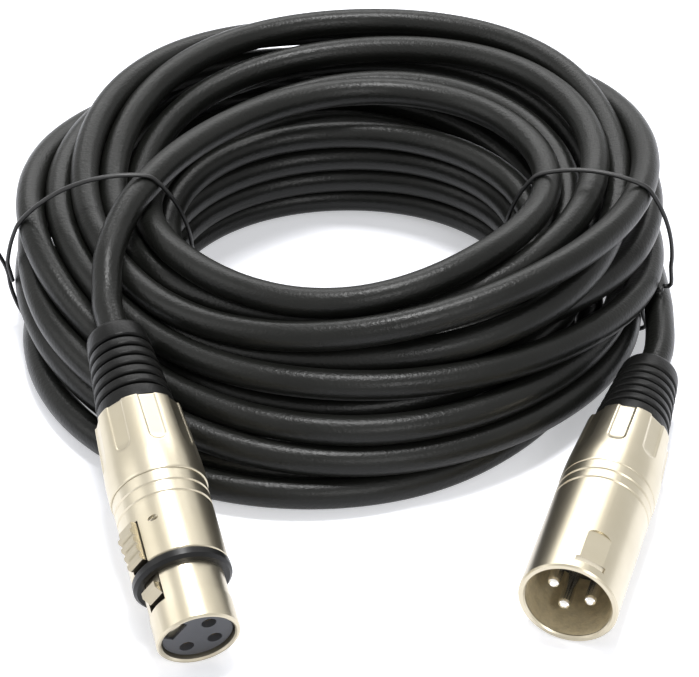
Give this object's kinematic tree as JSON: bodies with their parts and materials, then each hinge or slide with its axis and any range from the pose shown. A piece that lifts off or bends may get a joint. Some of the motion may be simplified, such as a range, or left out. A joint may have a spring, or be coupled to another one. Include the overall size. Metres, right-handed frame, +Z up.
{
  "type": "microphone lead coil",
  "caption": "Three-pole microphone lead wound in a round coil with a line socket, a line plug, screwed rear sleeves, boots and twist ties.",
  "frame": {"origin": "under the middle of the whole object, on the surface that it lies on", "axes": "+Z up from that surface, +Y from the two connectors towards the back of the coil, +X from the socket towards the plug"},
  "size_m": [0.1474, 0.1846, 0.0385],
  "materials": {
    "nickel": "satin nickel plate, slightly warm",
    "latch_nickel": "nickel plate, ribbed",
    "insert_grey": "dark grey moulded thermoplastic",
    "insert_black": "black moulded thermoplastic",
    "contact_gold": "thin gold plate",
    "pin_silver": "silver plate",
    "ring_black": "satin black",
    "steel": "plain",
    "core_insulation": "soft PVC insulation",
    "chuck_white": "natural acetal",
    "boot_rubber": "matt black",
    "cable_jacket": "black flexible PVC, satin",
    "tie_plastic": "black plastic over wire"
  },
  "bodies": {
    "root": {"female_shell": "nickel", "female_insert": "insert_grey", "socket_contact_1": "contact_gold", "socket_contact_2": "contact_gold", "socket_contact_3": "contact_gold", "seal_ring": "ring_black", "latch_pivot": "steel", "latch_spring": "steel", "female_cores": "core_insulation", "female_chuck": "chuck_white", "female_cable_end": "cable_jacket", "male_shell": "nickel", "male_insert": "insert_black", "contact_pin_1": "pin_silver", "contact_pin_2": "pin_silver", "contact_pin_3": "pin_silver", "male_cores": "core_insulation", "male_chuck": "chuck_white", "male_cable_end": "cable_jacket", "cable_coil": "cable_jacket", "female_lead": "cable_jacket", "male_lead": "cable_jacket", "left_tie": "tie_plastic", "right_tie": "tie_plastic"},
    "latch": {"latch": "latch_nickel"},
    "female_boot": {"female_boot": "boot_rubber"},
    "female_sleeve": {"female_sleeve": "nickel"},
    "male_boot": {"male_boot": "boot_rubber"},
    "male_sleeve": {"male_sleeve": "nickel"}
  },
  "joints": [
    {"name": "latch_press", "type": "hinge", "parent": "root", "child": "latch", "pos_m": [-0.03587, -0.07161, 0.01689], "axis": [0.5648, -0.047, 0.8239], "range_deg": [0, 5], "stiffness_Nm_per_rad": 0.2, "deforming": ["latch_spring"]},
    {"name": "female_boot_slide", "type": "slide", "parent": "root", "child": "female_boot", "axis": [-0.2678, 0.9339, 0.2368], "range_m": [0, 0.0061]},
    {"name": "female_sleeve_turn", "type": "hinge", "parent": "female_boot", "child": "female_sleeve", "pos_m": [-0.03265, -0.05949, 0.01537], "axis": [-0.2678, 0.9339, 0.2368], "range_deg": [0, 1440]},
    {"name": "male_boot_slide", "type": "slide", "parent": "root", "child": "male_boot", "axis": [0.309, 0.9511, 0], "range_m": [0, 0.0061]},
    {"name": "male_sleeve_turn", "type": "hinge", "parent": "male_boot", "child": "male_sleeve", "pos_m": [0.05328, -0.05308, 0.0096], "axis": [0.309, 0.9511, 0], "range_deg": [0, 1440]}
  ],
  "couplings": [
    {"joint": "female_boot_slide", "follows": "female_sleeve_turn", "m_per_rad": 0.00023873},
    {"joint": "male_boot_slide", "follows": "male_sleeve_turn", "m_per_rad": 0.00023873}
  ]
}
